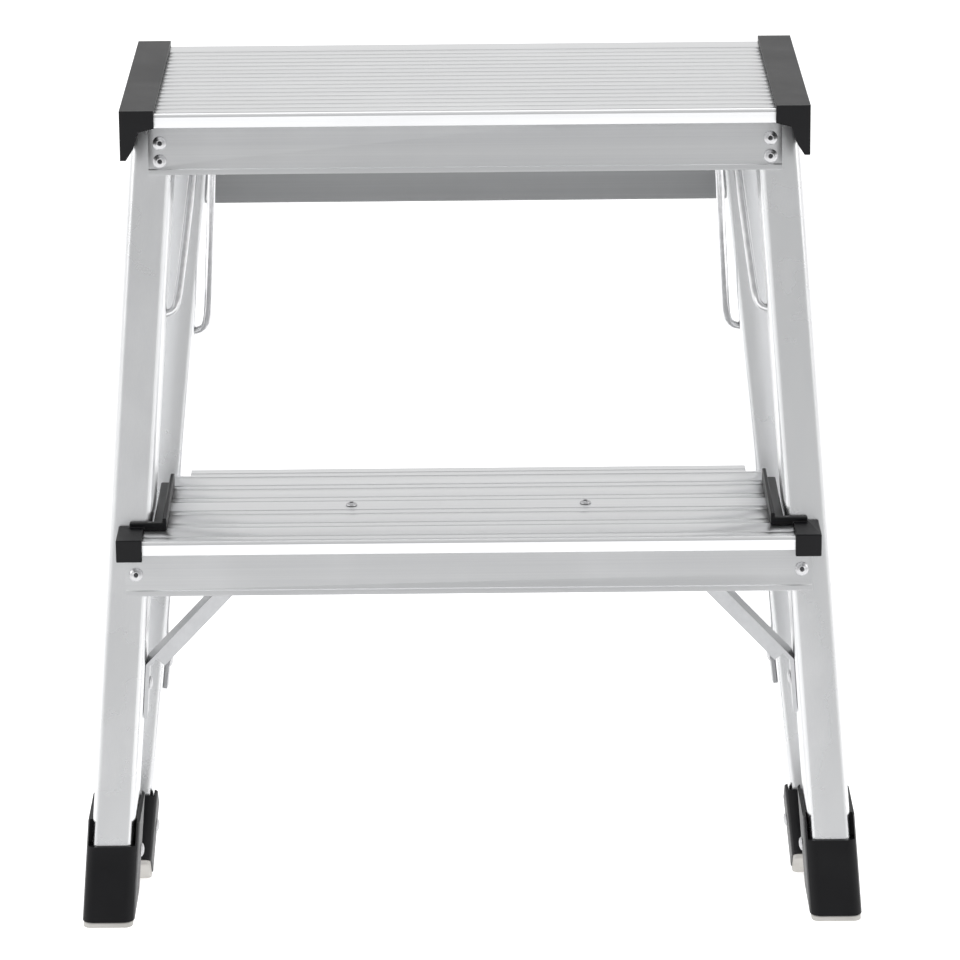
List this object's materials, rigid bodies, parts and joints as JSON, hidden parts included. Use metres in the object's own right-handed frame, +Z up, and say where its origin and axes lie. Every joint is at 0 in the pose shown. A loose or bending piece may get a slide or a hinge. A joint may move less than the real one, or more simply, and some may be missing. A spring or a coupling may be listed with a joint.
{
  "type": "step stool",
  "caption": "Folding aluminium step stool with a grooved platform, a lower tread, plastic end caps and shoes, and a hinged rear frame held by wire rods.",
  "frame": {"origin": "under the middle of the folded stool's box, level with the heels of its rear shoes, which hang 26 mm below the front soles when it is folded", "axes": "+Z up, +Y from the climbing side towards the rear frame, +X to the right seen from the climbing side"},
  "size_m": [0.4866, 0.2742, 0.5311],
  "materials": {
    "aluminium": "satin anodised",
    "dark_plastic": "fine moulded grain",
    "steel": "zinc plated",
    "sole_rubber": "matt",
    "nylon": "natural"
  },
  "bodies": {
    "front_frame": {"platform_deck": "aluminium", "lower_tread": "aluminium", "front_stile_left": "aluminium", "front_stile_right": "aluminium", "front_brace_left": "aluminium", "front_brace_right": "aluminium", "front_shoe_left": "dark_plastic", "front_shoe_right": "dark_plastic", "platform_cap_left": "dark_plastic", "platform_cap_right": "dark_plastic", "tread_cap_left": "dark_plastic", "tread_cap_right": "dark_plastic", "front_sole_left": "sole_rubber", "front_sole_right": "sole_rubber", "hinge_bracket_left": "steel", "hinge_bracket_right": "steel", "hinge_pin_left": "steel", "hinge_pin_right": "steel", "platform_stay_left": "steel", "platform_stay_right": "steel", "platform_rivet_1_left": "steel", "platform_rivet_1_right": "steel", "platform_rivet_2_left": "steel", "platform_rivet_2_right": "steel", "tread_rivet_left": "steel", "tread_rivet_right": "steel", "brace_top_rivet_left": "steel", "brace_top_rivet_right": "steel", "brace_tab_rivet_left": "steel", "brace_tab_rivet_right": "steel", "front_shoe_rivet_left": "steel", "front_shoe_rivet_right": "steel", "hinge_washer_left": "nylon", "hinge_washer_right": "nylon"},
    "rear_frame": {"rear_leg_left": "aluminium", "rear_leg_right": "aluminium", "rear_shoe_left": "dark_plastic", "rear_shoe_right": "dark_plastic", "rear_sole_left": "sole_rubber", "rear_sole_right": "sole_rubber", "upper_cross_bar": "aluminium", "lower_cross_bar": "aluminium", "rear_brace_left": "aluminium", "rear_brace_right": "aluminium", "rear_tab_rivet_left": "steel", "rear_tab_rivet_right": "steel", "rear_shoe_rivet_left": "steel", "rear_shoe_rivet_right": "steel"},
    "lock_rods": {"lock_rod_left": "steel", "lock_rod_right": "steel"}
  },
  "joints": [
    {"name": "rear_frame_fold", "type": "hinge", "parent": "front_frame", "child": "rear_frame", "pos_m": [0, 0.1111, 0.4901], "axis": [1, 0, 0], "range_deg": [0, 33.1]},
    {"name": "lock_rod_turn", "type": "hinge", "parent": "rear_frame", "child": "lock_rods", "pos_m": [0, 0.07818, 0.353], "axis": [1, 0, 0], "range_deg": [-27, 0]}
  ],
  "couplings": [
    {"joint": "lock_rod_turn", "follows": "rear_frame_fold", "ratio": -0.8}
  ]
}
